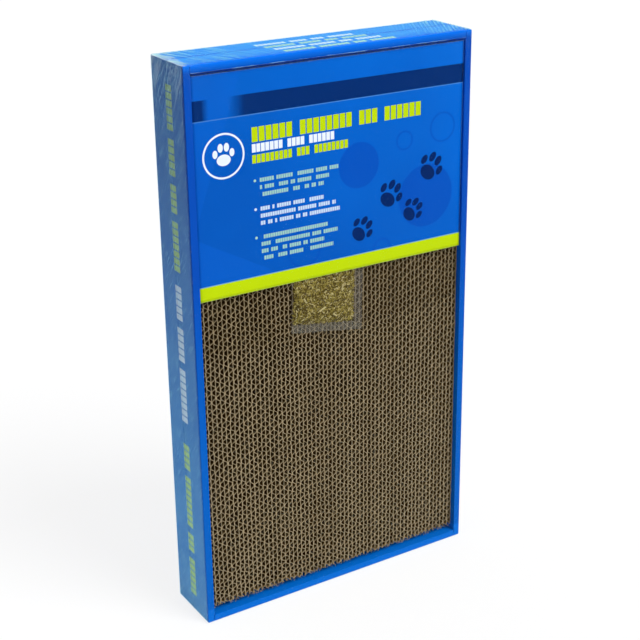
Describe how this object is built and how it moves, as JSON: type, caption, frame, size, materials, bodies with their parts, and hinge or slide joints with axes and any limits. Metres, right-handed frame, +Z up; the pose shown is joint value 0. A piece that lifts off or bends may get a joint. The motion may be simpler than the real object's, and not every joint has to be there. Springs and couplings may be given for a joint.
{
  "type": "cat scratcher",
  "caption": "Corrugated-board cat scratch pad in a blue folded tray, with a header card and a catnip sachet under clear shrink film, standing on its short end.",
  "frame": {"origin": "bottom centre of the pack, where it stands on its short end", "axes": "+Z up along the pack's length, -Y out of the scratch face, +X to the right seen from the front"},
  "size_m": [0.2622, 0.0542, 0.4702],
  "materials": {
    "printed_board": "semi-gloss blue print on paperboard",
    "kraft_board": "raw kraft corrugated board, sheared edges",
    "printed_card": "gloss print",
    "sachet_film": "clear film",
    "dried_herb": "dried crushed leaf",
    "shrink_film": "clear shrunk film"
  },
  "bodies": {
    "tray_body": {"tray": "printed_board", "shrink_film_back": "shrink_film"},
    "pad_body": {"strip_pair_01": "kraft_board", "strip_pair_02": "kraft_board", "strip_pair_03": "kraft_board", "strip_pair_04": "kraft_board", "strip_pair_05": "kraft_board", "strip_pair_06": "kraft_board", "strip_pair_07": "kraft_board", "strip_pair_08": "kraft_board", "strip_pair_09": "kraft_board", "strip_pair_10": "kraft_board", "strip_pair_11": "kraft_board", "strip_pair_12": "kraft_board", "strip_pair_13": "kraft_board", "strip_pair_14": "kraft_board", "strip_pair_15": "kraft_board", "strip_pair_16": "kraft_board", "strip_pair_17": "kraft_board", "strip_pair_18": "kraft_board", "strip_pair_19": "kraft_board", "strip_pair_20": "kraft_board", "strip_pair_21": "kraft_board", "strip_pair_22": "kraft_board", "strip_pair_23": "kraft_board", "strip_pair_24": "kraft_board", "strip_pair_25": "kraft_board", "strip_pair_26": "kraft_board", "strip_pair_27": "kraft_board", "strip_pair_28": "kraft_board", "strip_pair_29": "kraft_board", "strip_pair_30": "kraft_board", "strip_pair_31": "kraft_board"},
    "sachet_body": {"sachet_front_film": "sachet_film", "sachet_back_film": "sachet_film", "catnip_fill": "dried_herb"},
    "card_body": {"header_card": "printed_card"},
    "film_body": {"shrink_film_front": "shrink_film"}
  },
  "joints": [
    {"name": "pad_lift_out", "type": "slide", "parent": "tray_body", "child": "pad_body", "axis": [0, -1, 0], "range_m": [0, 0.06]},
    {"name": "sachet_lift_off", "type": "slide", "parent": "pad_body", "child": "sachet_body", "axis": [0, -1, 0], "range_m": [0, 0.025]},
    {"name": "card_lift_off", "type": "slide", "parent": "sachet_body", "child": "card_body", "axis": [0, -1, 0], "range_m": [0, 0.03]},
    {"name": "film_front_off", "type": "slide", "parent": "card_body", "child": "film_body", "axis": [0, -1, 0], "range_m": [0, 0.04]}
  ]
}
